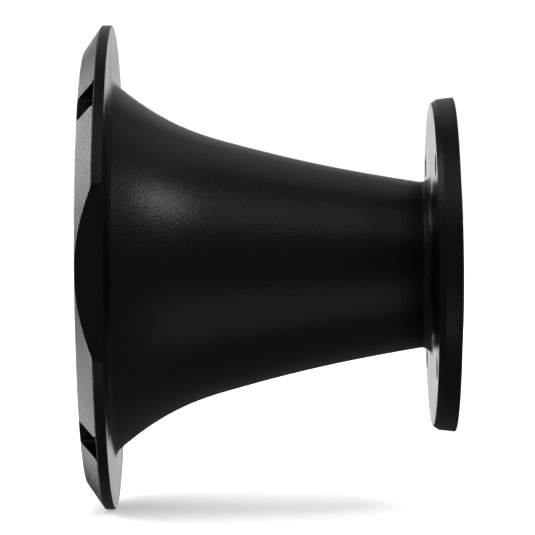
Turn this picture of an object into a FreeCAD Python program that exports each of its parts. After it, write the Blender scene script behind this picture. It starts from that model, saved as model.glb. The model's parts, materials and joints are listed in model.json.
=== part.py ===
import FreeCAD, Part
import math
import os

# A horn-shaped snoot for a studio lamp head, in millimetres.
# X is the optical axis and points the way the light leaves. Z is up.
# The origin is the centre of the rear seating plane, where the lamp head's face lands.
# Angles round the axis start at +Y and turn towards +Z.

# Driving dimensions: wide rear flange
FLANGE_R = 75.0
FLANGE_BACK = 5.3
FLANGE_FRONT = 8.5
FLAT_R = 70.4
REAR_R = 67.1
EDGE_BREAK = 0.35
PLATE_BREAK = 0.3
REAR_BREAK = 0.15
NOTCH_ANGLES = (45, 135, 225, 315)
NOTCH_WIDTH = 9.7
NOTCH_FLOOR_R = 67.0
NOTCH_CORNER_R = 1.2
NOTCH_MOUTH_R = 2.0

# Driving dimensions: three-lug bayonet
LUG_R = 57.0
LUG_GAP_R = 61.0
LUG_GAP_ANGLES = (90, 210, 330)
LUG_GAP_SPAN = 25.0
BAYONET_T = 2.2
BAYONET_R = 65.0
CLAW_CHANNEL_R = 61.8
CLAW_POCKET_X = 6.5
BAYONET_SCREW_RING_R = 63.2
BAYONET_SCREW_ANGLES = (5, 55, 125, 175, 245, 295)
BAYONET_SCREW_SHANK_R = 1.0
BAYONET_SCREW_HEAD_R = 1.8
BAYONET_SCREW_HEAD_T = 0.8
BAYONET_SCREW_SUNK = 0.1
BAYONET_SCREW_END = 4.6
BAYONET_SCREW_SOCKET = 1.3
BAYONET_SOCKET_FLOOR = 0.75
STOP_PIN_ANGLE = 288.0
STOP_PIN_RING_R = 59.3
STOP_PIN_R = 1.25
STOP_PIN_END = 5.0
SEAL_T = 0.8
SEAL_IN_R = 57.2
SEAL_OUT_R = 61.6

# Driving dimensions: flange screws, M2 low heads sunk in counterbores
FLANGE_SCREW_ANGLES = (48, 132, 228, 312)
FLANGE_SCREW_RING_R = 65.3
FLANGE_SCREW_SHANK_R = 1.0
FLANGE_SCREW_HEAD_R = 1.9
FLANGE_SCREW_SEAT = 6.5
FLANGE_SCREW_END = 3.0
FLANGE_SCREW_SUNK = 0.6
FLANGE_SCREW_SOCKET = 1.5
FLANGE_SCREW_SOCKET_DEPTH = 0.8

# Driving dimensions: horn
HORN_OUTER = ((10.0, 56.3), (34.95, 34.95), (48.85, 41.85), (40.6, 35.75), (103.0, 25.85))
HORN_INNER = ((CLAW_POCKET_X, 56.4), (20.4, 42.7), (33.6, 34.2), (95.6, 24.3))
THROAT_FRONT = 103.45
THROAT_R = 25.8
BORE_R = 21.9
BORE_LEAD_X = 98.0
SPIGOT_R = 23.9
SPIGOT_FRONT = 110.8

# Driving dimensions: turning front disc
RUNNING_GAP = 0.05
BODY_GAP = 0.1
COLLAR_R = THROAT_R
COLLAR_BACK = THROAT_FRONT + BODY_GAP
BUSHING_R = 24.6
BUSHING_FLANGE_R = 25.2
BUSHING_FLANGE_T = 0.8
DISC_BACK = 106.8
DISC_BACK_R = 50.1
DISC_CHAMFER_X = 108.65
DISC_CHAMFER_R = 51.35
DISC_FRONT = 112.9
DISC_FRONT_R = 51.85
COVER_FRONT = 113.7
COVER_R = 51.9
HUB_FLOOR = 108.4
HUB_R = 27.7
POCKET_FLOOR = 110.9
POCKET_R = 36.5

# Driving dimensions: cover screws, M4 low heads in counterbores in the disc's rear face
COVER_SCREW_ANGLES = (45, 135, 225, 315)
COVER_SCREW_RING_R = 43.3
COVER_SCREW_RECESS_R = 3.45
COVER_SCREW_HEAD_R = 3.2
COVER_SCREW_SHANK_R = 2.0
COVER_SCREW_HOLE_R = 2.15
COVER_SCREW_SEAT = 109.2
COVER_SCREW_END = 112.3
COVER_SCREW_SUNK = 0.5
COVER_SCREW_SOCKET = 2.5
COVER_SCREW_SOCKET_DEPTH = 1.2
INSERT_R = 3.0
BOSS_R = 4.5
BOSS_BACK = 110.0
BOSS_POCKET_R = 4.6

# Driving dimensions: magnets that hold the honeycomb grid
MAGNET_COUNT = 8
MAGNET_RING_R = 32.4
MAGNET_R = 2.5
MAGNET_GROOVE_IN_R = 29.2
MAGNET_GROOVE_OUT_R = 35.6
YOKE_BACK = 108.3
YOKE_T = 0.6
FIT_GAP = 0.1

# Driving dimensions: retaining ring, wave washer and O-ring on the spigot
CLIP_BACK = 109.1
CLIP_T = 1.0
CLIP_GROOVE_R = 23.0
CLIP_R = 26.3
CLIP_GAP_SPAN = 30.0
CLIP_EYE_R = 1.3
CLIP_EYE_HOLE_R = 0.6
CLIP_EYE_RING_R = 25.9
WASHER_IN_R = 24.3
WASHER_OUT_R = 27.0
WASHER_T = 0.3
WASHER_WAVE = 0.14
WASHER_WAVES = 3
ORING_X = 107.0
ORING_WIRE_R = 0.5
ORING_RING_R = 23.42

# Driving dimensions: honeycomb grid
HOLDER_R = 36.1
HOLDER_BACK = 97.6
HOLDER_LIP_FRONT = 114.9
HOLDER_LIP_T = 1.6
HOLDER_BORE_R = 20.5
HOLDER_LEDGE = 0.9
HOLDER_LIFT = 0.2
SHADE_FLOOR = (112.6, 21.9)
BARREL_R = 21.4
HOLDER_SCALLOPS = 36
SCALLOP_R = 1.3
SCALLOP_DEPTH = 0.4
KEEPER_T = 0.6
KEEPER_SEAT_GAP = 0.2
CORE_R = 20.4
CORE_RIM_T = 0.3
CORE_BACK = 98.3
CORE_FRONT = 111.2
CELL_PITCH = 3.4
CELL_WALL = 0.24
SMALLEST_CELL_AREA = 1.0
SNAP_BACK = 111.3
SNAP_T = 0.6
SNAP_GROOVE_DEPTH = 0.45
SNAP_GAP_SPAN = 12.0

# How far a cutter reaches past the faces that it cuts
OVERCUT = 1.0

ORIGIN = FreeCAD.Vector(0, 0, 0)
X_AXIS = FreeCAD.Vector(1, 0, 0)


def save(name, shape):
    shape.exportStep("parts/" + name + ".step")


def profile_point(x, r):
    return FreeCAD.Vector(x, r, 0)


def ring_point(x, ring_r, angle):
    turn = math.radians(angle)
    return FreeCAD.Vector(x, ring_r * math.cos(turn), ring_r * math.sin(turn))


def line(start, end):
    return Part.LineSegment(profile_point(*start), profile_point(*end)).toShape()


def arc(start, middle, end):
    return Part.Arc(profile_point(*start), profile_point(*middle), profile_point(*end)).toShape()


def bezier(poles):
    curve = Part.BezierCurve()
    curve.setPoles([profile_point(*pole) for pole in poles])
    return curve.toShape()


def lines(points):
    return [line(a, b) for a, b in zip(points, points[1:])]


def turned(edges):
    """Solid of revolution about the optical axis, from the edges of a closed (x, radius) outline."""
    face = Part.Face(Part.Wire(Part.__sortEdges__(edges)))
    return face.revolve(ORIGIN, X_AXIS, 360)


def turned_points(points):
    return turned(lines(points + [points[0]]))


def tube(inner_r, outer_r, back, front):
    return turned_points([(back, inner_r), (back, outer_r), (front, outer_r), (front, inner_r)])


def rod(radius, back, front, ring_r=0.0, angle=0.0):
    """Cylinder along X, on the optical axis or at a place on a ring round it."""
    return Part.makeCylinder(radius, front - back, ring_point(back, ring_r, angle), X_AXIS)


def rods(radius, back, front, ring_r, angles):
    return [rod(radius, back, front, ring_r, angle) for angle in angles]


def cone(back_r, front_r, back, front, ring_r, angle):
    return Part.makeCone(back_r, front_r, front - back, ring_point(back, ring_r, angle), X_AXIS)


def around(shape, angle):
    """A copy turned about the optical axis."""
    copy = shape.copy()
    copy.rotate(ORIGIN, X_AXIS, angle)
    return copy


def hexagon(width, x, y, z):
    """Face of a hexagon of this width across flats, square to the optical axis."""
    corner_r = width / math.sqrt(3)
    corners = []
    for step in range(7):
        turn = math.radians(30 + 60 * step)
        corners.append(FreeCAD.Vector(x, y + corner_r * math.cos(turn), z + corner_r * math.sin(turn)))
    return Part.Face(Part.makePolygon(corners))


def hex_socket(width, back, front, ring_r, angle):
    centre = ring_point(back, ring_r, angle)
    return hexagon(width, back, centre.y, centre.z).extrude(FreeCAD.Vector(front - back, 0, 0))


def circle_face(radius, x):
    edge = Part.makeCircle(radius, FreeCAD.Vector(x, 0, 0), X_AXIS)
    return Part.Face(Part.Wire([edge]))


def sector(radius, back, front, centre_angle, span):
    """A pie slice about the optical axis."""
    slice_of_disc = Part.makeCylinder(radius, front - back, FreeCAD.Vector(back, 0, 0), X_AXIS, span)
    middle = slice_of_disc.CenterOfMass
    middle_angle = math.degrees(math.atan2(middle.z, middle.y))
    return around(slice_of_disc, centre_angle - middle_angle)


def notch_cutter(angle):
    """One lock notch: parallel walls, rounded floor corners and a mouth that flares at the rim."""
    half = NOTCH_WIDTH / 2
    flare_v = half + NOTCH_MOUTH_R
    flare_u = math.sqrt((FLANGE_R - NOTCH_MOUTH_R) ** 2 - flare_v ** 2)
    rim = FLANGE_R / (FLANGE_R - NOTCH_MOUTH_R)
    slope = math.sqrt(0.5)
    outside = FLANGE_R + 5 * OVERCUT
    lift = math.atan2(flare_v, flare_u)
    mid_turn = (lift - math.pi / 2) / 2
    right_half = [
        ((NOTCH_FLOOR_R, 0), (NOTCH_FLOOR_R, half - NOTCH_CORNER_R)),
        ((NOTCH_FLOOR_R, half - NOTCH_CORNER_R),
         (NOTCH_FLOOR_R + NOTCH_CORNER_R * (1 - slope), half - NOTCH_CORNER_R * (1 - slope)),
         (NOTCH_FLOOR_R + NOTCH_CORNER_R, half)),
        ((NOTCH_FLOOR_R + NOTCH_CORNER_R, half), (flare_u, half)),
        ((flare_u, half),
         (flare_u + NOTCH_MOUTH_R * math.cos(mid_turn), flare_v + NOTCH_MOUTH_R * math.sin(mid_turn)),
         (flare_u * rim, flare_v * rim)),
        ((flare_u * rim, flare_v * rim), (outside, flare_v * rim)),
        ((outside, flare_v * rim), (outside, 0)),
    ]
    edges = []
    for side in (1, -1):
        for piece in right_half:
            points = [FreeCAD.Vector(-OVERCUT, u, side * v) for u, v in piece]
            curve = Part.Arc(*points) if len(points) == 3 else Part.LineSegment(*points)
            edges.append(curve.toShape())
    face = Part.Face(Part.Wire(Part.__sortEdges__(edges)))
    return around(face.extrude(FreeCAD.Vector(FLANGE_BACK + 2 * OVERCUT, 0, 0)), angle)


def flat_cutter(side, back_r, front_r, back, front):
    """Cuts a flat on the +Y or -Y side, level or leaning in towards the rear."""
    reach = 2 * FLANGE_R
    outline = [
        FreeCAD.Vector(back, side * back_r, -reach),
        FreeCAD.Vector(front, side * front_r, -reach),
        FreeCAD.Vector(front, side * reach, -reach),
        FreeCAD.Vector(back, side * reach, -reach),
    ]
    face = Part.Face(Part.makePolygon(outline + [outline[0]]))
    return face.extrude(FreeCAD.Vector(0, 0, 2 * reach))


def horn_cove():
    """Start and middle of the arc that leads from the flange's front face into the horn, tangent to both."""
    (start_x, start_r), (next_x, next_r) = HORN_OUTER[:2]
    turn = math.atan2(next_x - start_x, start_r - next_r)
    cove_r = (start_x - FLANGE_FRONT) / (1 - math.cos(turn))
    top_r = start_r + cove_r * math.sin(turn)
    middle = (FLANGE_FRONT + cove_r * (1 - math.cos(turn / 2)), top_r - cove_r * math.sin(turn / 2))
    return (FLANGE_FRONT, top_r), middle


def horn_shell():
    """Horn, its rear flange plate and the spigot that the front disc turns on, in one piece."""
    cove_start, cove_middle = horn_cove()
    outside = lines([
        (FLANGE_BACK, CLAW_CHANNEL_R),
        (FLANGE_BACK, FLANGE_R - PLATE_BREAK),
        (FLANGE_BACK + PLATE_BREAK, FLANGE_R),
        (FLANGE_FRONT - PLATE_BREAK, FLANGE_R),
        (FLANGE_FRONT, FLANGE_R - PLATE_BREAK),
        cove_start,
    ])
    outside.append(arc(cove_start, cove_middle, HORN_OUTER[0]))
    outside.append(bezier(HORN_OUTER))
    spigot = lines([
        HORN_OUTER[-1],
        (THROAT_FRONT, THROAT_R),
        (THROAT_FRONT, SPIGOT_R),
        (SPIGOT_FRONT - EDGE_BREAK, SPIGOT_R),
        (SPIGOT_FRONT, SPIGOT_R - EDGE_BREAK),
        (SPIGOT_FRONT, BORE_R),
        (BORE_LEAD_X, BORE_R),
        HORN_INNER[-1],
    ])
    inside = [bezier(HORN_INNER)]
    inside += lines([HORN_INNER[0], (CLAW_POCKET_X, CLAW_CHANNEL_R), (FLANGE_BACK, CLAW_CHANNEL_R)])
    shell = turned(outside + spigot + inside)

    clip_groove = tube(CLIP_GROOVE_R, SPIGOT_R + OVERCUT, CLIP_BACK - RUNNING_GAP,
                       CLIP_BACK + CLIP_T + RUNNING_GAP)
    groove_floor = SPIGOT_R - 2 * ORING_WIRE_R
    oring_groove = tube(groove_floor, SPIGOT_R + OVERCUT, ORING_X - ORING_WIRE_R - FIT_GAP,
                        ORING_X + ORING_WIRE_R + FIT_GAP)
    cutters = [clip_groove, oring_groove]
    for side in (1, -1):
        cutters.append(flat_cutter(side, FLAT_R, FLAT_R, FLANGE_BACK - OVERCUT, FLANGE_FRONT + OVERCUT))
    cutters += rods(FLANGE_SCREW_HEAD_R + FIT_GAP, FLANGE_SCREW_SEAT, FLANGE_FRONT + OVERCUT,
                    FLANGE_SCREW_RING_R, FLANGE_SCREW_ANGLES)
    cutters += rods(FLANGE_SCREW_SHANK_R + FIT_GAP, FLANGE_BACK - OVERCUT, FLANGE_FRONT,
                    FLANGE_SCREW_RING_R, FLANGE_SCREW_ANGLES)
    return shell.cut(cutters)


def mount_ring():
    """Bevelled rear ring with four lock notches, two leaning flats and the seat of the bayonet ring."""
    front_r = FLANGE_R - PLATE_BREAK
    cone_slope = (front_r - REAR_R) / FLANGE_BACK
    ring = turned_points([
        (0, BAYONET_R + FIT_GAP),
        (0, REAR_R - REAR_BREAK),
        (REAR_BREAK, REAR_R + REAR_BREAK * cone_slope),
        (FLANGE_BACK, front_r),
        (FLANGE_BACK, CLAW_CHANNEL_R),
        (BAYONET_T, CLAW_CHANNEL_R),
        (BAYONET_T, BAYONET_R + FIT_GAP),
    ])
    lean = OVERCUT * (FLAT_R - REAR_R) / FLANGE_BACK
    cutters = [notch_cutter(angle) for angle in NOTCH_ANGLES]
    for side in (1, -1):
        cutters.append(flat_cutter(side, REAR_R - lean, FLAT_R + lean, -OVERCUT, FLANGE_BACK + OVERCUT))
    cutters += rods(FLANGE_SCREW_SHANK_R, FLANGE_SCREW_END, FLANGE_BACK + OVERCUT,
                    FLANGE_SCREW_RING_R, FLANGE_SCREW_ANGLES)
    cutters += rods(BAYONET_SCREW_SHANK_R, BAYONET_T - OVERCUT, FLANGE_BACK - FIT_GAP,
                    BAYONET_SCREW_RING_R, BAYONET_SCREW_ANGLES)
    return ring.cut(cutters)


def bayonet_ring():
    """Steel plate with three inward lugs that the lamp head's claws hook behind."""
    plate = tube(LUG_R, BAYONET_R, 0, BAYONET_T)
    back = -OVERCUT
    front = BAYONET_T + OVERCUT
    cutters = rods(BAYONET_SCREW_SHANK_R, back, front, BAYONET_SCREW_RING_R, BAYONET_SCREW_ANGLES)
    for angle in LUG_GAP_ANGLES:
        cutters.append(sector(LUG_GAP_R, back, front, angle, LUG_GAP_SPAN))
    for angle in BAYONET_SCREW_ANGLES:
        cutters.append(cone(BAYONET_SCREW_HEAD_R + BAYONET_SCREW_SUNK, BAYONET_SCREW_SHANK_R, 0,
                            BAYONET_SCREW_SUNK + BAYONET_SCREW_HEAD_T, BAYONET_SCREW_RING_R, angle))
    cutters.append(rod(STOP_PIN_R, back, front, STOP_PIN_RING_R, STOP_PIN_ANGLE))
    return plate.cut(cutters)


def bayonet_ring_screws():
    """Six countersunk M2 screws."""
    screws = []
    neck = BAYONET_SCREW_SUNK + BAYONET_SCREW_HEAD_T
    for angle in BAYONET_SCREW_ANGLES:
        head = cone(BAYONET_SCREW_HEAD_R, BAYONET_SCREW_SHANK_R, BAYONET_SCREW_SUNK, neck,
                    BAYONET_SCREW_RING_R, angle)
        shank = rod(BAYONET_SCREW_SHANK_R, neck, BAYONET_SCREW_END, BAYONET_SCREW_RING_R, angle)
        socket = hex_socket(BAYONET_SCREW_SOCKET, 0, BAYONET_SOCKET_FLOOR, BAYONET_SCREW_RING_R, angle)
        screws.append(head.fuse(shank).removeSplitter().cut(socket))
    return Part.makeCompound(screws)


def bayonet_stop_pin():
    """Pin that stops the claws at the locked position."""
    pin = rod(STOP_PIN_R, FIT_GAP, STOP_PIN_END, STOP_PIN_RING_R, STOP_PIN_ANGLE)
    return pin.makeChamfer(EDGE_BREAK, pin.Edges[0:1])


def light_seal():
    """Felt ring that closes the gap between the lamp head's face and the horn's mouth."""
    return tube(SEAL_IN_R, SEAL_OUT_R, CLAW_POCKET_X - SEAL_T, CLAW_POCKET_X)


def flange_screws():
    """Four M2 low-head screws, sunk in the horn's flange, that join it to the mount ring."""
    screws = []
    head_front = FLANGE_FRONT - FLANGE_SCREW_SUNK
    socket_floor = head_front - FLANGE_SCREW_SOCKET_DEPTH
    for angle in FLANGE_SCREW_ANGLES:
        head = rod(FLANGE_SCREW_HEAD_R, FLANGE_SCREW_SEAT, head_front, FLANGE_SCREW_RING_R, angle)
        shank = rod(FLANGE_SCREW_SHANK_R, FLANGE_SCREW_END, FLANGE_SCREW_SEAT, FLANGE_SCREW_RING_R, angle)
        socket = hex_socket(FLANGE_SCREW_SOCKET, socket_floor, FLANGE_FRONT, FLANGE_SCREW_RING_R, angle)
        screws.append(head.fuse(shank).cut(socket))
    return Part.makeCompound(screws)


def friction_oring():
    """O-ring that damps the front disc's turning and stops light at the joint."""
    centre = FreeCAD.Vector(ORING_X, 0, 0)
    return Part.makeTorus(ORING_RING_R, ORING_WIRE_R, centre, X_AXIS)


def wave_washer():
    """Wavy spring ring that takes up the front disc's end play."""
    middle = (HUB_FLOOR + CLIP_BACK) / 2
    samples = 8 * WASHER_WAVES

    def closed_edge(radius, shift):
        points = []
        for step in range(samples):
            angle = 360.0 * step / samples
            wave = WASHER_WAVE * math.cos(math.radians(WASHER_WAVES * angle))
            points.append(ring_point(middle + shift + wave, radius, angle))
        curve = Part.BSplineCurve()
        curve.interpolate(Points=points, PeriodicFlag=True)
        return curve.toShape()

    rim = []
    for radius, shift in ((WASHER_IN_R, -1), (WASHER_OUT_R, -1), (WASHER_OUT_R, 1), (WASHER_IN_R, 1)):
        rim.append(closed_edge(radius, shift * WASHER_T / 2))
    faces = []
    for first, second in zip(rim, rim[1:] + rim[:1]):
        faces += Part.makeRuledSurface(first, second).Faces
    shell = Part.makeShell(faces)
    shell.sewShape()
    return Part.makeSolid(shell)


def retaining_ring():
    """External spring clip in the spigot's groove, with two eyes for pliers."""
    front = CLIP_BACK + CLIP_T
    ring = tube(CLIP_GROOVE_R + RUNNING_GAP, CLIP_R, CLIP_BACK, front)
    ring = ring.cut(sector(CLIP_R + OVERCUT, CLIP_BACK - OVERCUT, front + OVERCUT, 90, CLIP_GAP_SPAN))
    for side in (1, -1):
        angle = 90 + side * (CLIP_GAP_SPAN / 2 + 1)
        ring = ring.fuse(rod(CLIP_EYE_R, CLIP_BACK, front, CLIP_EYE_RING_R, angle))
        ring = ring.cut(rod(CLIP_EYE_HOLE_R, CLIP_BACK - OVERCUT, front + OVERCUT, CLIP_EYE_RING_R, angle))
    return ring.removeSplitter()


def front_disc():
    """Thick disc that turns on the spigot, with a cove that carries on the horn's line at the throat."""
    cove_r = DISC_BACK - COLLAR_BACK
    cove_top_r = COLLAR_R + cove_r
    halfway = math.sqrt(0.5)
    cove = arc((COLLAR_BACK, COLLAR_R),
               (COLLAR_BACK + cove_r * halfway, cove_top_r - cove_r * halfway),
               (DISC_BACK, cove_top_r))
    bushing_step = THROAT_FRONT + RUNNING_GAP + BUSHING_FLANGE_T
    rest = lines([
        (DISC_BACK, cove_top_r),
        (DISC_BACK, DISC_BACK_R),
        (DISC_CHAMFER_X, DISC_CHAMFER_R),
        (DISC_FRONT - EDGE_BREAK / 3, DISC_FRONT_R),
        (DISC_FRONT, DISC_FRONT_R - EDGE_BREAK / 3),
        (DISC_FRONT, POCKET_R),
        (POCKET_FLOOR, POCKET_R),
        (POCKET_FLOOR, HUB_R),
        (HUB_FLOOR, HUB_R),
        (HUB_FLOOR, BUSHING_R),
        (bushing_step, BUSHING_R),
        (bushing_step, BUSHING_FLANGE_R),
        (COLLAR_BACK, BUSHING_FLANGE_R),
        (COLLAR_BACK, COLLAR_R),
    ])
    disc = turned([cove] + rest)
    cutters = [tube(MAGNET_GROOVE_IN_R, MAGNET_GROOVE_OUT_R, YOKE_BACK, POCKET_FLOOR + OVERCUT)]
    cutters += rods(COVER_SCREW_RECESS_R, DISC_BACK - OVERCUT, COVER_SCREW_SEAT, COVER_SCREW_RING_R,
                    COVER_SCREW_ANGLES)
    cutters += rods(COVER_SCREW_HOLE_R, DISC_BACK, DISC_FRONT, COVER_SCREW_RING_R, COVER_SCREW_ANGLES)
    cutters += rods(BOSS_POCKET_R, BOSS_BACK - FIT_GAP, DISC_FRONT + OVERCUT, COVER_SCREW_RING_R,
                    COVER_SCREW_ANGLES)
    return disc.cut(cutters)


def throat_bushing():
    """Flanged slide bushing pressed into the front disc."""
    back = THROAT_FRONT + RUNNING_GAP
    return turned_points([
        (back, SPIGOT_R + RUNNING_GAP),
        (back, BUSHING_FLANGE_R),
        (back + BUSHING_FLANGE_T, BUSHING_FLANGE_R),
        (back + BUSHING_FLANGE_T, BUSHING_R),
        (HUB_FLOOR, BUSHING_R),
        (HUB_FLOOR, SPIGOT_R + RUNNING_GAP),
    ])


def front_cover():
    """Thin front plate with four bosses on its back for the cover screws."""
    plate = turned_points([
        (DISC_FRONT, POCKET_R),
        (DISC_FRONT, COVER_R - EDGE_BREAK / 2),
        (DISC_FRONT + EDGE_BREAK / 2, COVER_R),
        (COVER_FRONT - EDGE_BREAK / 2, COVER_R),
        (COVER_FRONT, COVER_R - EDGE_BREAK / 2),
        (COVER_FRONT, POCKET_R + EDGE_BREAK),
        (COVER_FRONT - EDGE_BREAK, POCKET_R),
    ])
    bosses = rods(BOSS_R, BOSS_BACK, DISC_FRONT, COVER_SCREW_RING_R, COVER_SCREW_ANGLES)
    holes = rods(INSERT_R, BOSS_BACK - OVERCUT, DISC_FRONT - FIT_GAP, COVER_SCREW_RING_R,
                 COVER_SCREW_ANGLES)
    return plate.fuse(bosses).cut(holes)


def cover_inserts():
    """Four brass threaded inserts in the front cover's bosses."""
    inserts = []
    for angle in COVER_SCREW_ANGLES:
        body = rod(INSERT_R, BOSS_BACK, DISC_FRONT - FIT_GAP, COVER_SCREW_RING_R, angle)
        thread = rod(COVER_SCREW_SHANK_R, BOSS_BACK - OVERCUT, DISC_FRONT, COVER_SCREW_RING_R, angle)
        inserts.append(body.cut(thread))
    return Part.makeCompound(inserts)


def cover_screws():
    """Four M4 low head screws, put in from the disc's rear face."""
    head_back = DISC_BACK + COVER_SCREW_SUNK
    socket_floor = head_back + COVER_SCREW_SOCKET_DEPTH
    screws = []
    for angle in COVER_SCREW_ANGLES:
        head = rod(COVER_SCREW_HEAD_R, head_back, COVER_SCREW_SEAT, COVER_SCREW_RING_R, angle)
        shank = rod(COVER_SCREW_SHANK_R, COVER_SCREW_SEAT, COVER_SCREW_END, COVER_SCREW_RING_R, angle)
        socket = hex_socket(COVER_SCREW_SOCKET, DISC_BACK, socket_floor, COVER_SCREW_RING_R, angle)
        screws.append(head.fuse(shank).cut(socket))
    return Part.makeCompound(screws)


def magnet_angles():
    return [360.0 * (step + 0.5) / MAGNET_COUNT for step in range(MAGNET_COUNT)]


def magnet_yoke():
    """Steel ring behind the magnets."""
    return tube(MAGNET_GROOVE_IN_R + FIT_GAP, MAGNET_GROOVE_OUT_R - FIT_GAP, YOKE_BACK, YOKE_BACK + YOKE_T)


def magnet_carrier():
    """Plastic ring that holds the magnets in place."""
    back = YOKE_BACK + YOKE_T
    ring = tube(MAGNET_GROOVE_IN_R + FIT_GAP, MAGNET_GROOVE_OUT_R - FIT_GAP, back, POCKET_FLOOR)
    return ring.cut(rods(MAGNET_R, back - OVERCUT, POCKET_FLOOR + OVERCUT, MAGNET_RING_R, magnet_angles()))


def magnets():
    """Disc magnets, a hair below the carrier's face."""
    back = YOKE_BACK + YOKE_T
    return Part.makeCompound(rods(MAGNET_R, back, POCKET_FLOOR - FIT_GAP, MAGNET_RING_R, magnet_angles()))


def grid_holder():
    """Turned holder: a flange with a scalloped rim, a shading cone, and a barrel in the horn's bore."""
    flange_back = POCKET_FLOOR + HOLDER_LIFT
    keeper_seat = flange_back + KEEPER_T
    groove_in_r = MAGNET_GROOVE_IN_R + KEEPER_SEAT_GAP
    groove_out_r = MAGNET_GROOVE_OUT_R - KEEPER_SEAT_GAP
    snap_front = SNAP_BACK + SNAP_T
    core_seat = CORE_BACK - FIT_GAP
    holder = turned_points([
        (HOLDER_BACK, HOLDER_BORE_R - HOLDER_LEDGE),
        (HOLDER_BACK, BARREL_R - EDGE_BREAK),
        (HOLDER_BACK + EDGE_BREAK, BARREL_R),
        (flange_back, BARREL_R),
        (flange_back, groove_in_r),
        (keeper_seat, groove_in_r),
        (keeper_seat, groove_out_r),
        (flange_back, groove_out_r),
        (flange_back, HOLDER_R),
        (HOLDER_LIP_FRONT - EDGE_BREAK, HOLDER_R),
        (HOLDER_LIP_FRONT, HOLDER_R - EDGE_BREAK),
        (HOLDER_LIP_FRONT, HOLDER_R - HOLDER_LIP_T),
        SHADE_FLOOR,
        (snap_front + FIT_GAP, HOLDER_BORE_R),
        (snap_front, HOLDER_BORE_R),
        (snap_front, HOLDER_BORE_R + SNAP_GROOVE_DEPTH),
        (SNAP_BACK, HOLDER_BORE_R + SNAP_GROOVE_DEPTH),
        (SNAP_BACK, HOLDER_BORE_R),
        (core_seat, HOLDER_BORE_R),
        (core_seat, HOLDER_BORE_R - HOLDER_LEDGE),
    ])
    scallop_angles = [360.0 * step / HOLDER_SCALLOPS for step in range(HOLDER_SCALLOPS)]
    scallops = rods(SCALLOP_R, COVER_FRONT + FIT_GAP, HOLDER_LIP_FRONT + OVERCUT,
                    HOLDER_R + SCALLOP_R - SCALLOP_DEPTH, scallop_angles)
    return holder.cut(scallops)


def keeper_ring():
    """Steel ring that the magnets pull on."""
    back = POCKET_FLOOR + HOLDER_LIFT
    side_gap = KEEPER_SEAT_GAP + FIT_GAP
    return tube(MAGNET_GROOVE_IN_R + side_gap, MAGNET_GROOVE_OUT_R - side_gap, back, back + KEEPER_T)


def grid_core():
    """Honeycomb of straight hexagonal cells inside a thin rim."""
    row_pitch = CELL_PITCH * math.sqrt(3) / 2
    rows = math.ceil(CORE_R / row_pitch) + 1
    columns = math.ceil(CORE_R / CELL_PITCH) + 1
    bore = circle_face(CORE_R - CORE_RIM_T, CORE_BACK)
    cells = []
    for row in range(-rows, rows + 1):
        shift = (row % 2) * CELL_PITCH / 2
        for column in range(-columns, columns + 1):
            y = column * CELL_PITCH + shift
            z = row * row_pitch
            if math.hypot(y, z) > CORE_R + CELL_PITCH:
                continue
            cell = hexagon(CELL_PITCH - CELL_WALL, CORE_BACK, y, z).common(bore)
            cells += [face for face in cell.Faces if face.Area > SMALLEST_CELL_AREA]
    rim = Part.makeCircle(CORE_R, FreeCAD.Vector(CORE_BACK, 0, 0), X_AXIS)
    plate = Part.Face(Part.Wire([rim])).cut(cells)
    return plate.Faces[0].extrude(FreeCAD.Vector(CORE_FRONT - CORE_BACK, 0, 0))


def grid_snap_ring():
    """Split ring that keeps the honeycomb in its holder."""
    inner_r = HOLDER_BORE_R - SNAP_T
    outer_r = HOLDER_BORE_R + SNAP_GROOVE_DEPTH - RUNNING_GAP
    front = SNAP_BACK + SNAP_T - RUNNING_GAP
    ring = tube(inner_r, outer_r, SNAP_BACK + RUNNING_GAP, front)
    return ring.cut(sector(outer_r + OVERCUT, SNAP_BACK - OVERCUT, front + OVERCUT, 0, SNAP_GAP_SPAN))


NODES = (
    horn_shell, mount_ring, bayonet_ring, bayonet_ring_screws, bayonet_stop_pin, light_seal,
    flange_screws, friction_oring, wave_washer, retaining_ring,
    front_disc, throat_bushing, front_cover, cover_inserts, cover_screws,
    magnet_yoke, magnet_carrier, magnets,
    grid_holder, keeper_ring, grid_core, grid_snap_ring,
)

os.makedirs("parts", exist_ok=True)
for node in NODES:
    save(node.__name__, node())
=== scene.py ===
import json
import math

import bpy
from mathutils import Matrix, Vector, noise

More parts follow.
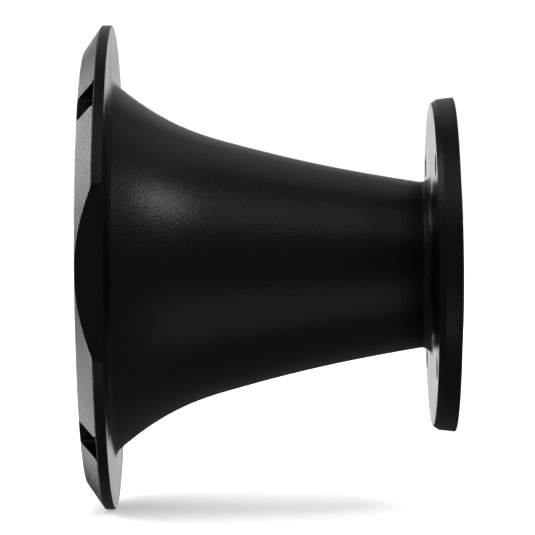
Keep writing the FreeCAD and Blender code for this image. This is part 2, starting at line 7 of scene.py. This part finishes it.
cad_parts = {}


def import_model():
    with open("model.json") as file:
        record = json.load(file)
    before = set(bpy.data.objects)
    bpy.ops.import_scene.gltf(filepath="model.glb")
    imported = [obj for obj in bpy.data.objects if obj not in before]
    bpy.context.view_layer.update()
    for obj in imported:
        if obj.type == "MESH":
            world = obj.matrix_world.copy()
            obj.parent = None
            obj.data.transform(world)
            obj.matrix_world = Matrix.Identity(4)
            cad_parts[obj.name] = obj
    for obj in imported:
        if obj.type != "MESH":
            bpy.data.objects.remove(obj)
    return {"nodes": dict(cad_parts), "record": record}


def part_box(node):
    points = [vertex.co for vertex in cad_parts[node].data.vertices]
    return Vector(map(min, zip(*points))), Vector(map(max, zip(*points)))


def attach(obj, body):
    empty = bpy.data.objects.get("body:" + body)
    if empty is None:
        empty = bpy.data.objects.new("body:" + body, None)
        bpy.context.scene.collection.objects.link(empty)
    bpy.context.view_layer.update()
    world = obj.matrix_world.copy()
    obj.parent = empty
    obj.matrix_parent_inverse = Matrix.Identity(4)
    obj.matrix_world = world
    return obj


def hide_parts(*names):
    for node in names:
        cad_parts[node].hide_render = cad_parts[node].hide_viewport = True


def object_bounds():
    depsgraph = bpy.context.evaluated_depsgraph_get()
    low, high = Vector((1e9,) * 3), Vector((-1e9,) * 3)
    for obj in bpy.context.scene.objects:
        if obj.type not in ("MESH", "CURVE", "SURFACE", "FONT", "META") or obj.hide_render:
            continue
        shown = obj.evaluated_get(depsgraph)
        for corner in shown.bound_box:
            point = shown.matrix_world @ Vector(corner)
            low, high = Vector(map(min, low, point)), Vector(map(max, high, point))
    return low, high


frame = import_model()
cad_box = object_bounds()

MM = 0.001

# Camera: beside the snoot with a long lens, swung a little round its axis and rolled a hair
CAMERA_PLACE = Vector((0.0586, -0.9657, 0.0095))
CAMERA_LENS = 209.0
CAMERA_SENSOR = 36.0
CAMERA_SHIFT = (-0.0157, -0.0602)
CAMERA_ROLL = math.radians(0.46)
CAMERA_ORBIT = math.radians(0.68)
CAMERA_NEAR = 0.05
CAMERA_FAR = 50.0

# Table and room: both are white to the camera, and the room is dim to everything else
FLOOR_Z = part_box("horn_shell")[0].z
FLOOR_REACH = 12.0
FLOOR_GLOW = 0.36
TABLE_SUN = 3.4
TABLE_SUN_SPREAD = math.radians(110)
ROOM_GREY = 0.08
ROOM_WHITE = 1.05

# Soft panels that face the snoot's middle: name, azimuth and elevation in degrees,
# distance, (width, height), radiance
CENTRE = (cad_box[0] + cad_box[1]) / 2
PANELS = (
    ("backdrop", 5, 1, 1.3, (0.85, 0.5), 1.35),
    ("backdrop_glow", 4, 14, 1.35, (1.2, 1.2), 0.30),
    ("left_panel_high", 50, 10, 1.2, (0.80, 0.42), 4.7),
    ("left_panel_low", 50, -12, 1.2, (0.80, 0.50), 3.1),
    ("left_strip", 88, 40, 1.2, (0.32, 0.32), 2.5),
    ("right_softbox", 246, 40, 1.2, (0.30, 0.30), 5.2),
    ("top_light", 330, 58, 1.4, (1.2, 0.7), 0.25),
    ("top_fill", 180, 58, 1.5, (1.6, 1.1), 0.30),
    ("low_fill", 208, -40, 1.5, (2.0, 1.1), 0.24),
)

# Range that a noise texture's value mostly stays in
NOISE_LOW = 0.3
NOISE_HIGH = 0.7

# Honeycomb grid: corrugated foil strips, glued where their flats meet
CELL_PITCH = 3.4 * MM
FOIL_T = 0.09 * MM
GLUED_APART = 1.15  # in foil thicknesses
FOIL_BAND_T = 0.25 * MM
FOIL_SLICES = 6
BAND_STEPS = 180
SHORTEST_WALL = 0.05  # as a part of a full wall
DENT_DEPTH = 0.05 * MM
DENTS_ALONG = 90
DENTS_ACROSS = 260
DENT_SEED = 7

# Felt ring: a rounded band whose fibres stand up from its faces
FELT_W = 4.4 * MM
FELT_STEPS = 720
FELT_RINGS = 18
FELT_EDGE_POWER = 0.5
FELT_FACE_POWER = 0.35
FELT_NAP = 0.12 * MM
FELT_CLUMPS = 900
FELT_CLUMP_SHARE = 0.6
FELT_FIBRES = 3100
FELT_FIBRE_SHARE = 0.5
FELT_FIBRE_SEED = Vector((7.0, 3.0, 1.0))


# Building blocks of the materials

def new_material(name):
    """A material with one principled shader, ready for its textures."""
    material = bpy.data.materials.new(name)
    material.use_nodes = True
    tree = material.node_tree
    tree.nodes.clear()
    output = tree.nodes.new("ShaderNodeOutputMaterial")
    shader = tree.nodes.new("ShaderNodeBsdfPrincipled")
    tree.links.new(shader.outputs["BSDF"], output.inputs["Surface"])
    return material, tree, shader


def noise_of(tree, scale, detail=2.0, stretch=(1.0, 1.0, 1.0)):
    """Noise in the object's own metres: scale is about one over the size of a blotch."""
    place = tree.nodes.new("ShaderNodeTexCoord")
    mapping = tree.nodes.new("ShaderNodeMapping")
    mapping.inputs["Scale"].default_value = stretch
    texture = tree.nodes.new("ShaderNodeTexNoise")
    texture.inputs["Scale"].default_value = scale
    texture.inputs["Detail"].default_value = detail
    tree.links.new(place.outputs["Object"], mapping.inputs["Vector"])
    tree.links.new(mapping.outputs["Vector"], texture.inputs["Vector"])
    return texture.outputs["Fac"]


def turning_marks(tree, pitch):
    """Fine rings about the optical axis, as a lathe leaves them."""
    place = tree.nodes.new("ShaderNodeTexCoord")
    rings = tree.nodes.new("ShaderNodeTexWave")
    rings.wave_type = "RINGS"
    rings.rings_direction = "X"
    rings_per_metre = 10 / math.pi  # at a scale of 1
    rings.inputs["Scale"].default_value = 1 / (rings_per_metre * pitch)
    rings.inputs["Distortion"].default_value = 0.6
    rings.inputs["Detail"].default_value = 1.0
    tree.links.new(place.outputs["Object"], rings.inputs["Vector"])
    return rings.outputs["Fac"]


def spread(tree, source, low, high):
    """Maps a texture's middle range to low..high."""
    mapped = tree.nodes.new("ShaderNodeMapRange")
    mapped.inputs["From Min"].default_value = NOISE_LOW
    mapped.inputs["From Max"].default_value = NOISE_HIGH
    mapped.inputs["To Min"].default_value = low
    mapped.inputs["To Max"].default_value = high
    tree.links.new(source, mapped.inputs["Value"])
    return mapped.outputs["Result"]


def bump(tree, height, distance, under=None):
    """Relief of the given depth, on top of the relief under it."""
    node = tree.nodes.new("ShaderNodeBump")
    node.inputs["Distance"].default_value = distance
    tree.links.new(height, node.inputs["Height"])
    if under is not None:
        tree.links.new(under, node.inputs["Normal"])
    return node.outputs["Normal"]


def rounded_edges(tree, radius):
    """Edges catch the light as if a coat or a file had rounded them."""
    node = tree.nodes.new("ShaderNodeBevel")
    node.samples = 4
    node.inputs["Radius"].default_value = radius
    return node.outputs["Normal"]


def set_colour(tree, shader, source, first, second):
    """Colour that wanders between two tones as the source does."""
    mixed = tree.nodes.new("ShaderNodeMix")
    mixed.data_type = "RGBA"
    mixed.inputs["A"].default_value = (*first, 1)
    mixed.inputs["B"].default_value = (*second, 1)
    tree.links.new(spread(tree, source, 0.0, 1.0), mixed.inputs["Factor"])
    tree.links.new(mixed.outputs["Result"], shader.inputs["Base Color"])


def set_roughness(tree, shader, source, low, high):
    """Gloss that wanders between two roughnesses as the source does."""
    tree.links.new(spread(tree, source, low, high), shader.inputs["Roughness"])


# Materials, one for each of the record's slots

def powder_coat():
    """Black powder coat: orange peel under a millimetre across, a finer grit, uneven gloss."""
    material, tree, shader = new_material("black_powder_coat")
    soft = rounded_edges(tree, radius=0.25 * MM)
    peel = bump(tree, noise_of(tree, scale=1450, detail=1), 0.07 * MM, soft)
    grit = bump(tree, noise_of(tree, scale=4200), 0.006 * MM, peel)
    tree.links.new(grit, shader.inputs["Normal"])
    set_colour(tree, shader, noise_of(tree, scale=300, detail=3),
               (0.0065, 0.0065, 0.0065), (0.0090, 0.0090, 0.0090))
    set_roughness(tree, shader, noise_of(tree, scale=55, detail=4), low=0.29, high=0.35)
    return material


def black_anodised():
    """Black anodised aluminium with turning marks."""
    material, tree, shader = new_material("black_anodised_turned")
    soft = rounded_edges(tree, radius=0.12 * MM)
    turned = bump(tree, turning_marks(tree, pitch=0.45 * MM), 0.003 * MM, soft)
    tree.links.new(turned, shader.inputs["Normal"])
    set_colour(tree, shader, noise_of(tree, scale=90, detail=3),
               (0.016, 0.016, 0.017), (0.023, 0.023, 0.025))
    set_roughness(tree, shader, noise_of(tree, scale=160, detail=4), low=0.33, high=0.42)
    return material


def zinc_plate():
    """Zinc plate: cloudy, faintly blue and yellow, with the rolled sheet's grain under it."""
    material, tree, shader = new_material("zinc_plate")
    soft = rounded_edges(tree, radius=0.15 * MM)
    rolled = noise_of(tree, scale=700, detail=3, stretch=(1.0, 9.0, 0.6))
    grain = bump(tree, rolled, 0.006 * MM, soft)
    tree.links.new(grain, shader.inputs["Normal"])
    shader.inputs["Metallic"].default_value = 1.0
    set_colour(tree, shader, noise_of(tree, scale=45, detail=5), (0.34, 0.35, 0.37), (0.41, 0.40, 0.38))
    set_roughness(tree, shader, noise_of(tree, scale=180, detail=5), low=0.40, high=0.52)
    return material


def black_oxide():
    """Black oxide on alloy steel: oily satin, brownish in places."""
    material, tree, shader = new_material("black_oxide_steel")
    soft = rounded_edges(tree, radius=0.1 * MM)
    skin = bump(tree, noise_of(tree, scale=2600, detail=3), 0.004 * MM, soft)
    tree.links.new(skin, shader.inputs["Normal"])
    shader.inputs["Metallic"].default_value = 0.5
    set_colour(tree, shader, noise_of(tree, scale=400, detail=3),
               (0.012, 0.012, 0.014), (0.030, 0.027, 0.024))
    set_roughness(tree, shader, noise_of(tree, scale=900, detail=3), low=0.28, high=0.42)
    return material


def spring_steel():
    """Oiled spring steel with fine rings round it."""
    material, tree, shader = new_material("oiled_spring_steel")
    soft = rounded_edges(tree, radius=0.08 * MM)
    rings = bump(tree, turning_marks(tree, pitch=0.3 * MM), 0.003 * MM, soft)
    tree.links.new(rings, shader.inputs["Normal"])
    shader.inputs["Metallic"].default_value = 1.0
    set_colour(tree, shader, noise_of(tree, scale=120, detail=4), (0.22, 0.21, 0.21), (0.32, 0.30, 0.27))
    set_roughness(tree, shader, noise_of(tree, scale=350, detail=4), low=0.22, high=0.36)
    return material


def coated_foil():
    """Aluminium foil with a matte black coat: slight crinkles, a dull sheen."""
    material, tree, shader = new_material("black_coated_foil")
    crinkle = bump(tree, noise_of(tree, scale=900, detail=4, stretch=(0.35, 1.0, 1.0)), 0.03 * MM)
    tree.links.new(crinkle, shader.inputs["Normal"])
    set_colour(tree, shader, noise_of(tree, scale=500, detail=3),
               (0.008, 0.008, 0.008), (0.016, 0.016, 0.016))
    set_roughness(tree, shader, noise_of(tree, scale=260, detail=3), low=0.42, high=0.58)
    return material


def brass_bar():
    """Brass turned from bar, a little tarnished."""
    material, tree, shader = new_material("turned_brass")
    soft = rounded_edges(tree, radius=0.08 * MM)
    marks = bump(tree, noise_of(tree, scale=1800, detail=2, stretch=(6.0, 1.0, 1.0)), 0.005 * MM, soft)
    tree.links.new(marks, shader.inputs["Normal"])
    shader.inputs["Metallic"].default_value = 1.0
    set_colour(tree, shader, noise_of(tree, scale=220, detail=4), (0.58, 0.40, 0.17), (0.76, 0.58, 0.28))
    set_roughness(tree, shader, noise_of(tree, scale=500, detail=3), low=0.2, high=0.38)
    return material


def black_felt():
    """Pressed wool felt: matted fibres with a soft sheen."""
    material, tree, shader = new_material("black_wool_felt")
    matted = bump(tree, noise_of(tree, scale=1500, detail=6, stretch=(1.0, 2.5, 0.7)), 0.12 * MM)
    fibres = bump(tree, noise_of(tree, scale=5200, detail=4), 0.05 * MM, matted)
    tree.links.new(fibres, shader.inputs["Normal"])
    shader.inputs["Sheen Weight"].default_value = 0.35
    shader.inputs["Sheen Roughness"].default_value = 0.5
    set_colour(tree, shader, noise_of(tree, scale=1100, detail=5),
               (0.006, 0.006, 0.006), (0.022, 0.021, 0.020))
    set_roughness(tree, shader, noise_of(tree, scale=700, detail=3), low=0.85, high=1.0)
    return material


def nitrile_rubber():
    """Black rubber with a fine moulded skin."""
    material, tree, shader = new_material("nitrile_rubber")
    skin = bump(tree, noise_of(tree, scale=2400, detail=3), 0.006 * MM)
    tree.links.new(skin, shader.inputs["Normal"])
    set_colour(tree, shader, noise_of(tree, scale=240, detail=3),
               (0.014, 0.014, 0.014), (0.024, 0.023, 0.022))
    set_roughness(tree, shader, noise_of(tree, scale=400, detail=3), low=0.5, high=0.7)
    return material


def acetal(name, dark, light):
    """Turned acetal: waxy, with faint turning marks."""
    material, tree, shader = new_material(name)
    soft = rounded_edges(tree, radius=0.1 * MM)
    turned = bump(tree, turning_marks(tree, pitch=0.35 * MM), 0.004 * MM, soft)
    tree.links.new(turned, shader.inputs["Normal"])
    set_colour(tree, shader, noise_of(tree, scale=150, detail=3), dark, light)
    set_roughness(tree, shader, noise_of(tree, scale=300, detail=3), low=0.36, high=0.48)
    return material


def nickel_plate():
    """Bright nickel with hairline scratches from sliding steel."""
    material, tree, shader = new_material("nickel_plate")
    soft = rounded_edges(tree, radius=0.15 * MM)
    hairlines = noise_of(tree, scale=900, detail=2, stretch=(1.0, 12.0, 0.4))
    scratched = bump(tree, hairlines, 0.002 * MM, soft)
    tree.links.new(scratched, shader.inputs["Normal"])
    shader.inputs["Metallic"].default_value = 1.0
    set_colour(tree, shader, noise_of(tree, scale=200, detail=3), (0.62, 0.60, 0.56), (0.72, 0.71, 0.69))
    set_roughness(tree, shader, noise_of(tree, scale=650, detail=4), low=0.12, high=0.26)
    return material


def dress_cad_nodes(materials):
    """Gives each CAD node the finish of its slot in the record."""
    for subpart in frame["record"]["subparts"]:
        cad = frame["nodes"][subpart["node"]]
        cad.data.materials.clear()
        cad.data.materials.append(materials[subpart["material_slot"]])


# Pieces made here in place of plain CAD ones

def new_piece(name, points, faces, material, smooth=False):
    mesh = bpy.data.meshes.new(name)
    mesh.from_pydata(points, [], faces)
    mesh.validate()
    mesh.materials.append(material)
    mesh.polygons.foreach_set("use_smooth", [smooth] * len(mesh.polygons))
    mesh.update()
    piece = bpy.data.objects.new(name, mesh)
    bpy.context.scene.collection.objects.link(piece)
    return piece


def ring_tube(profile, steps, wobble=None):
    """Points and faces of a closed (x, radius) outline turned about the optical axis."""
    count = len(profile)
    points = []
    faces = []
    for step in range(steps):
        angle = 2 * math.pi * step / steps
        for x, radius in profile:
            point = Vector((x, radius * math.cos(angle), radius * math.sin(angle)))
            points.append(wobble(point) if wobble else point)
        here = step * count
        there = ((step + 1) % steps) * count
        for index in range(count):
            after = (index + 1) % count
            faces.append((here + index, here + after, there + after, there + index))
    return points, faces


def foil_lines(reach):
    """Corrugated lines, as lists of (y, z): each flat of a strip is glued to the next strip's flat."""
    side = CELL_PITCH / math.sqrt(3)
    row_pitch = CELL_PITCH * math.sqrt(3) / 2
    rows = math.ceil(reach / row_pitch) + 1
    columns = math.ceil(reach / CELL_PITCH) + 1
    strips = []
    for column in range(-columns, columns + 1):
        for way in (1, -1):
            strip = []
            for row in range(-rows, rows + 1):
                odd = row % 2
                y = (column + 0.5 + way * 0.5 * odd) * CELL_PITCH
                glued = way * (0.5 - odd) * FOIL_T * GLUED_APART
                for end in (-0.5, 0.5):
                    strip.append((y + glued, row * row_pitch + end * side))
            strips.append(strip)
    return strips


def inside_circle(start, end, radius):
    """The part of a straight line inside a circle about the axis, or None if it is very short."""
    start = Vector(start)
    way = Vector(end) - start
    a = way.dot(way)
    b = start.dot(way)
    root = b * b - a * (start.dot(start) - radius * radius)
    if root <= 0:
        return None
    first = max(0.0, (-b - math.sqrt(root)) / a)
    last = min(1.0, (-b + math.sqrt(root)) / a)
    if last - first < SHORTEST_WALL:
        return None
    return start + way * first, start + way * last


def add_foil_wall(points, faces, start, end, back, front):
    """One flat of foil with its real thickness, dented a little between its two ends."""
    way = (end - start).normalized()
    across = Vector((-way.y, way.x)) * FOIL_T / 2
    first = len(points)
    for step in range(FOIL_SLICES + 1):
        x = back + (front - back) * step / FOIL_SLICES
        for corner in (start - across, end - across, end + across, start + across):
            seed = Vector((x * DENTS_ALONG, corner.x * DENTS_ACROSS, corner.y * DENTS_ACROSS))
            dent = noise.noise_vector(seed) * DENT_DEPTH
            points.append((x, corner.x + dent.y, corner.y + dent.z))
    for step in range(FOIL_SLICES):
        ring = first + 4 * step
        for side in range(4):
            after = (side + 1) % 4
            faces.append((ring + side, ring + after, ring + 4 + after, ring + 4 + side))
    last = first + 4 * FOIL_SLICES
    faces.append((first + 3, first + 2, first + 1, first))
    faces.append((last, last + 1, last + 2, last + 3))


def honeycomb(material):
    """Foil honeycomb in a thin band."""
    low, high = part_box("grid_core")
    back, front = low.x, high.x
    band_r = high.z
    cell_r = band_r - FOIL_BAND_T
    profile = [(back, cell_r), (back, band_r), (front, band_r), (front, cell_r)]
    points, faces = ring_tube(profile, BAND_STEPS)
    noise.seed_set(DENT_SEED)
    for strip in foil_lines(cell_r):
        for start, end in zip(strip, strip[1:]):
            wall = inside_circle(start, end, cell_r)
            if wall:
                add_foil_wall(points, faces, *wall, back + DENT_DEPTH, front - DENT_DEPTH)
    piece = new_piece("honeycomb_foil", points, faces, material)
    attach(piece, "grid")
    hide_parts("grid_core")


def signed_power(value, power):
    """A power that keeps the sign: under 1 it squares a circle off."""
    return math.copysign(abs(value) ** power, value)


def felt_point(point):
    """Pushes a point of the felt's surface in or out, as matted fibres do."""
    clump = noise.noise(point * FELT_CLUMPS)
    fibre = noise.noise(point * FELT_FIBRES + FELT_FIBRE_SEED)
    push = FELT_NAP * (FELT_CLUMP_SHARE * clump + FELT_FIBRE_SHARE * fibre)
    return point + Vector((push, 0.0, 0.0))


def felt_outline():
    """Outline (x, radius) of the felt's section: a flat band with rounded corners."""
    low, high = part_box("light_seal")
    middle_x = (low.x + high.x) / 2
    half_t = (high.x - low.x) / 2 - FELT_NAP
    half_w = FELT_W / 2
    middle_r = high.z - half_w
    outline = []
    for step in range(2 * FELT_RINGS):
        turn = math.pi * step / FELT_RINGS
        thick = signed_power(math.sin(turn), FELT_FACE_POWER) if step % FELT_RINGS else 0.0
        across = signed_power(math.cos(turn), FELT_EDGE_POWER)
        outline.append((middle_x + half_t * thick, middle_r + half_w * across))
    return outline


def felt_ring(material):
    """Felt light seal with rounded, fuzzy edges."""
    points, faces = ring_tube(felt_outline(), FELT_STEPS, felt_point)
    piece = new_piece("felt_light_seal", points, faces, material, smooth=True)
    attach(piece, "snoot_body")
    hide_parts("light_seal")


# Studio

def camera():
    data = bpy.data.cameras.new("camera")
    data.lens = CAMERA_LENS
    data.sensor_width = CAMERA_SENSOR
    data.shift_x, data.shift_y = CAMERA_SHIFT
    data.clip_start = CAMERA_NEAR
    data.clip_end = CAMERA_FAR
    made = bpy.data.objects.new("camera", data)
    aim = Matrix.Rotation(CAMERA_ROLL, 4, "Y") @ Matrix.Rotation(math.pi / 2, 4, "X")
    orbit = Matrix.Rotation(-CAMERA_ORBIT, 4, "X")
    made.matrix_world = orbit @ Matrix.Translation(CAMERA_PLACE) @ aim
    bpy.context.scene.collection.objects.link(made)
    bpy.context.scene.camera = made


def towards(azimuth, elevation):
    """Unit vector from angles in degrees: azimuth runs from +Y (behind the snoot) through -X."""
    turn = math.radians(azimuth)
    rise = math.radians(elevation)
    return Vector((-math.sin(turn) * math.cos(rise), math.cos(turn) * math.cos(rise), math.sin(rise)))


def area_light(name, direction, distance, size, radiance):
    """A soft panel that faces the snoot's middle. The camera doesn't see it."""
    width, height = size
    data = bpy.data.lights.new(name, "AREA")
    data.shape = "RECTANGLE"
    data.size = width
    data.size_y = height
    data.energy = radiance * math.pi * width * height
    light = bpy.data.objects.new(name, data)
    way = direction.normalized()
    light.location = CENTRE + way * distance
    light.rotation_mode = "QUATERNION"
    light.rotation_quaternion = way.to_track_quat("Z", "Y")
    light.visible_camera = False
    bpy.context.scene.collection.objects.link(light)


def studio_lights():
    for name, azimuth, elevation, distance, size, radiance in PANELS:
        area_light(name, towards(azimuth, elevation), distance, size, radiance)


def floor():
    """White table that neither lights the snoot nor shows in its gloss, so the underside stays dark."""
    material, tree, shader = new_material("white_table")
    set_colour(tree, shader, noise_of(tree, scale=40, detail=3), (0.80, 0.80, 0.80), (0.82, 0.82, 0.82))
    shader.inputs["Roughness"].default_value = 1.0
    shader.inputs["Specular IOR Level"].default_value = 0.0
    shader.inputs["Emission Color"].default_value = (1, 1, 1, 1)
    shader.inputs["Emission Strength"].default_value = FLOOR_GLOW
    ways = ((-1, -1), (1, -1), (1, 1), (-1, 1))
    corners = [(x * FLOOR_REACH, y * FLOOR_REACH, FLOOR_Z) for x, y in ways]
    made = new_piece("floor", corners, [(0, 1, 2, 3)], material)
    made.visible_glossy = False
    made.visible_diffuse = False
    return made


def table_light(table):
    """Broad light from above that only the table receives, so it stays white with a soft shadow."""
    data = bpy.data.lights.new("table_light", "SUN")
    data.energy = TABLE_SUN
    data.angle = TABLE_SUN_SPREAD
    light = bpy.data.objects.new("table_light", data)
    bpy.context.scene.collection.objects.link(light)
    receivers = bpy.data.collections.new("table_only")
    receivers.objects.link(table)
    light.light_linking.receiver_collection = receivers


def world():
    """White to the camera, a dim room to everything else."""
    made = bpy.data.worlds.new("studio")
    bpy.context.scene.world = made
    made.use_nodes = True
    tree = made.node_tree
    tree.nodes.clear()
    output = tree.nodes.new("ShaderNodeOutputWorld")
    mix = tree.nodes.new("ShaderNodeMixShader")
    path = tree.nodes.new("ShaderNodeLightPath")
    room = tree.nodes.new("ShaderNodeBackground")
    white = tree.nodes.new("ShaderNodeBackground")
    room.inputs["Color"].default_value = (ROOM_GREY, ROOM_GREY, ROOM_GREY, 1)
    white.inputs["Color"].default_value = (ROOM_WHITE, ROOM_WHITE, ROOM_WHITE, 1)
    tree.links.new(path.outputs["Is Camera Ray"], mix.inputs["Fac"])
    tree.links.new(room.outputs[0], mix.inputs[1])
    tree.links.new(white.outputs[0], mix.inputs[2])
    tree.links.new(mix.outputs[0], output.inputs["Surface"])


camera()
MATERIALS = {
    "textured_black": powder_coat(),
    "zinc_steel": zinc_plate(),
    "black_steel": black_oxide(),
    "spring_steel": spring_steel(),
    "black_anodised": black_anodised(),
    "black_foil": coated_foil(),
    "brass": brass_bar(),
    "felt": black_felt(),
    "rubber": nitrile_rubber(),
    "white_pom": acetal("white_acetal", (0.70, 0.69, 0.65), (0.78, 0.77, 0.73)),
    "black_pom": acetal("black_acetal", (0.016, 0.016, 0.016), (0.026, 0.026, 0.027)),
    "nickel": nickel_plate(),
}
dress_cad_nodes(MATERIALS)
honeycomb(MATERIALS["black_foil"])
felt_ring(MATERIALS["felt"])

world()
studio_lights()
table_light(floor())

bpy.context.scene.view_settings.view_transform = "Standard"
bpy.context.scene.view_settings.look = "None"
